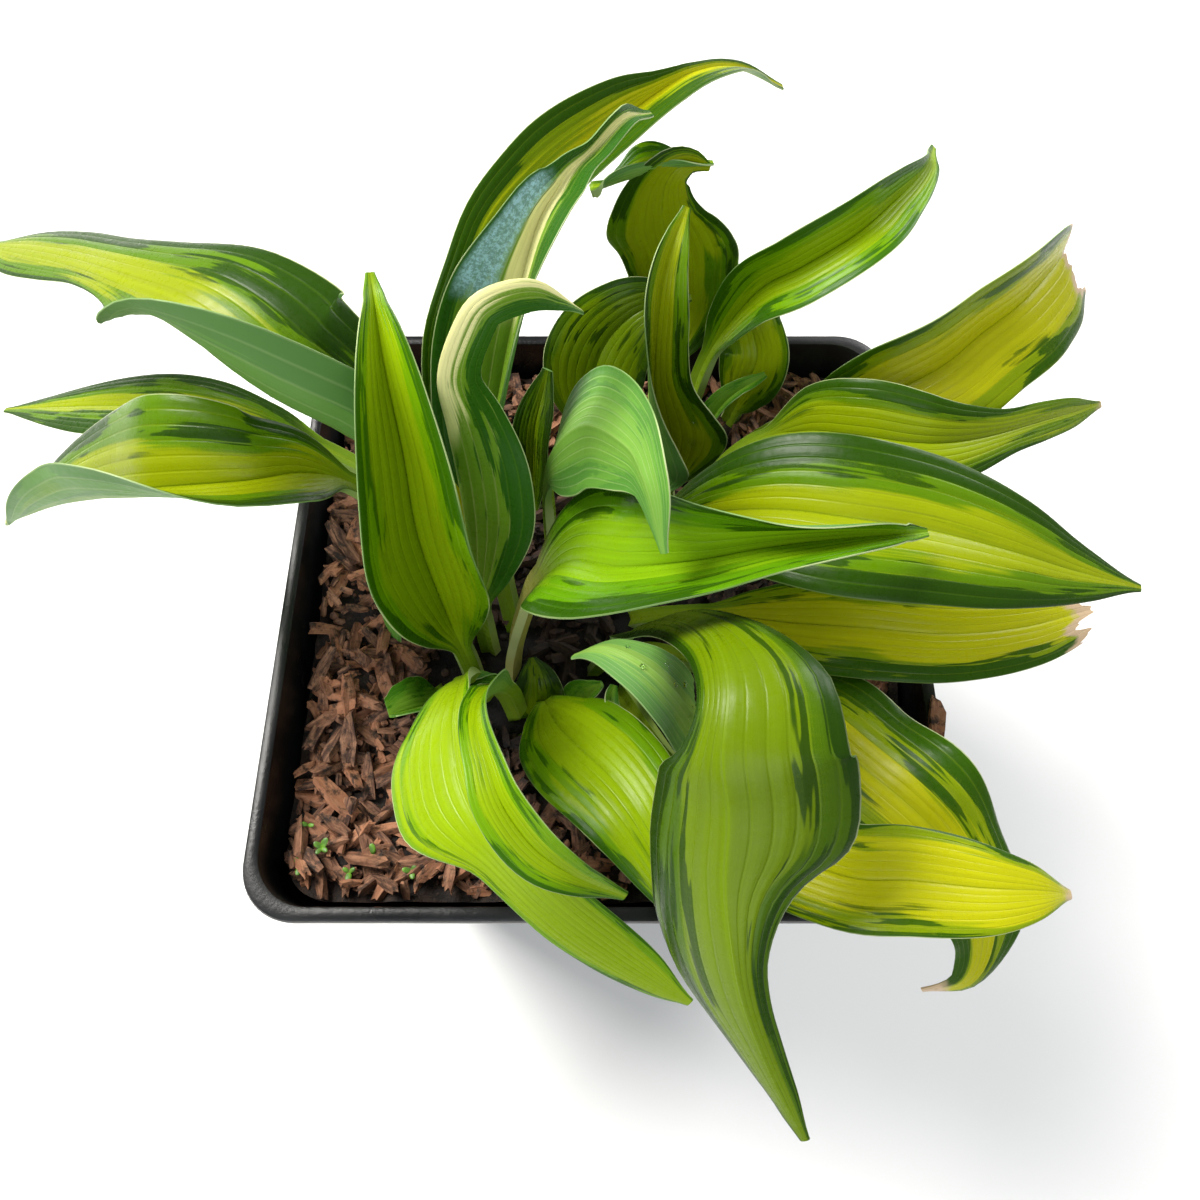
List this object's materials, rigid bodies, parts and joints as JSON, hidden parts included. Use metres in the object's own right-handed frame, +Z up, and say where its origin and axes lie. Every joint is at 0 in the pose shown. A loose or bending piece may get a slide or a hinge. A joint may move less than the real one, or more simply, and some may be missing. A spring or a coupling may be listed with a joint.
{
  "type": "potted hosta plant",
  "caption": "Young variegated hosta with arching, twisted leaves in a square dark plastic nursery pot filled with bark soil.",
  "frame": {"origin": "middle of the pot's flat underside", "axes": "+Z up, -Y towards the front, where the two largest leaves hang; +X to the right"},
  "size_m": [0.2257, 0.181, 0.1726],
  "materials": {
    "pot_plastic": "satin black polypropylene, finely grained",
    "bark_soil": "rough damp bark compost",
    "leaf_green": "glossy ribbed leaf with jagged dark green margins",
    "leaf_gold": "glossy ribbed leaf with a wide yellow-green middle"
  },
  "bodies": {
    "root": {"pot": "pot_plastic", "soil": "bark_soil", "leaf_left_long": "leaf_green", "leaf_left_low": "leaf_green", "leaf_left_hidden": "leaf_green", "leaf_left_boat": "leaf_green", "leaf_left_hook": "leaf_green", "leaf_centre_tall": "leaf_gold", "leaf_top_arch": "leaf_green", "leaf_top_curl": "leaf_green", "leaf_top_point": "leaf_green", "leaf_centre_small": "leaf_green", "leaf_right_torn": "leaf_gold", "leaf_right_slim": "leaf_green", "leaf_right_big": "leaf_green", "leaf_middle_level": "leaf_green", "leaf_middle_curl": "leaf_green", "leaf_right_low": "leaf_gold", "leaf_right_waved": "leaf_green", "leaf_right_gold": "leaf_gold", "leaf_front_big": "leaf_green", "leaf_front_left": "leaf_green", "leaf_front_flap": "leaf_green", "leaf_front_slim": "leaf_green", "leaf_front_inner": "leaf_green", "leaf_back_dark": "leaf_green", "leaf_back_low": "leaf_green", "leaf_young_left": "leaf_green", "leaf_young_front": "leaf_green", "leaf_young_back": "leaf_green"}
  },
  "joints": []
}
